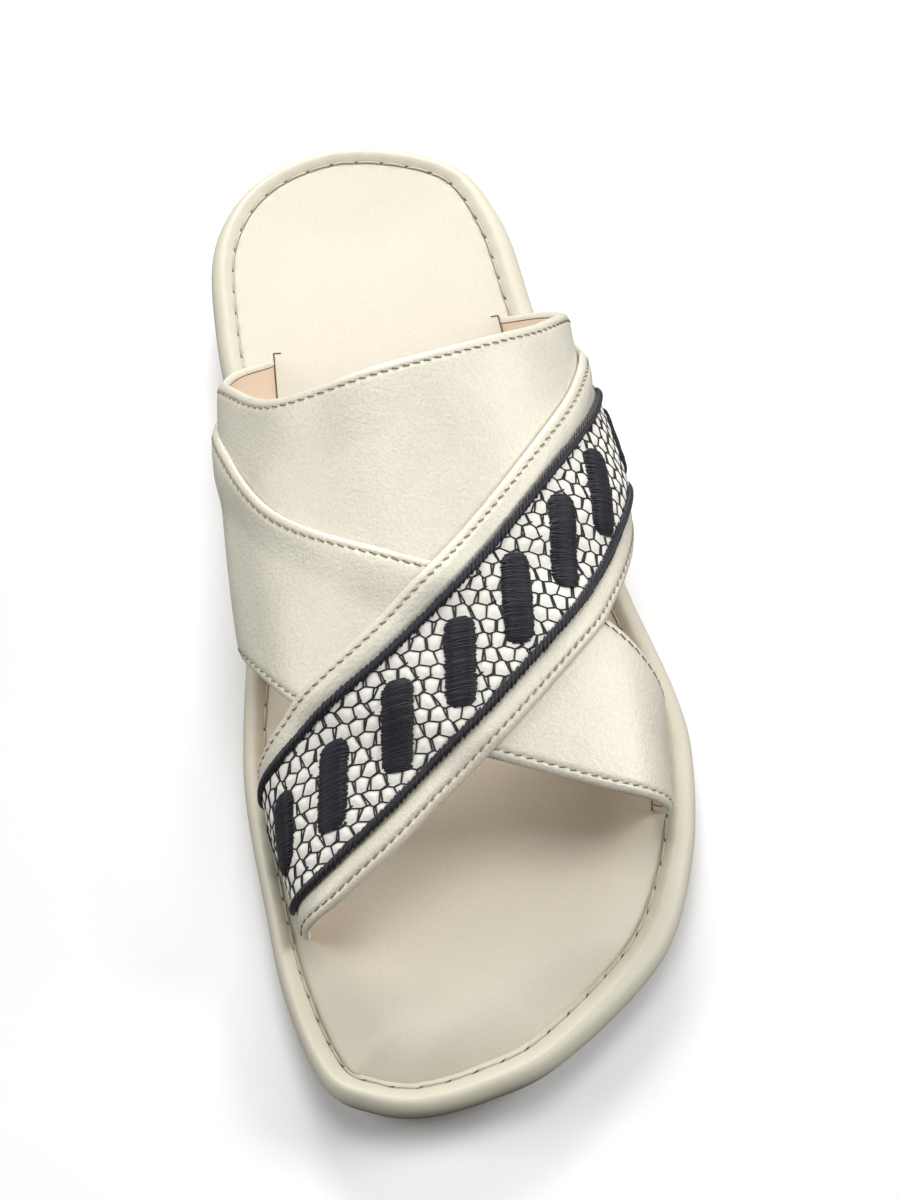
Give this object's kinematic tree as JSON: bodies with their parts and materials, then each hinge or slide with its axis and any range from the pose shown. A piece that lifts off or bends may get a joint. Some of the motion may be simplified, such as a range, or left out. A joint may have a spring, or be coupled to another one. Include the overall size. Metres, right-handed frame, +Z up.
{
  "type": "cross-strap leather slide sandal",
  "caption": "Open leather slide sandal for the left foot: wrapped sole with a rolled rim, crossing instep straps joined as one upper, and an embroidered band on the top strap.",
  "frame": {"origin": "on the ground, under the middle of the sole's length and width", "axes": "-Y to the toe, +X to the wearer's outer side, +Z up"},
  "size_m": [0.1096, 0.28, 0.0807],
  "materials": {
    "outsole": "matte moulded rubber",
    "midsole": "cream leather wrapped over the wedge and rolled at the rim",
    "insole": "smooth cream leather",
    "upper": "soft cream leather with a fine matte grain",
    "embroidered_band": "dark thread embroidered over a white ground"
  },
  "bodies": {
    "root": {"outsole": "outsole", "midsole": "midsole", "insole": "insole", "upper": "upper", "embroidered_band": "embroidered_band"}
  },
  "joints": []
}
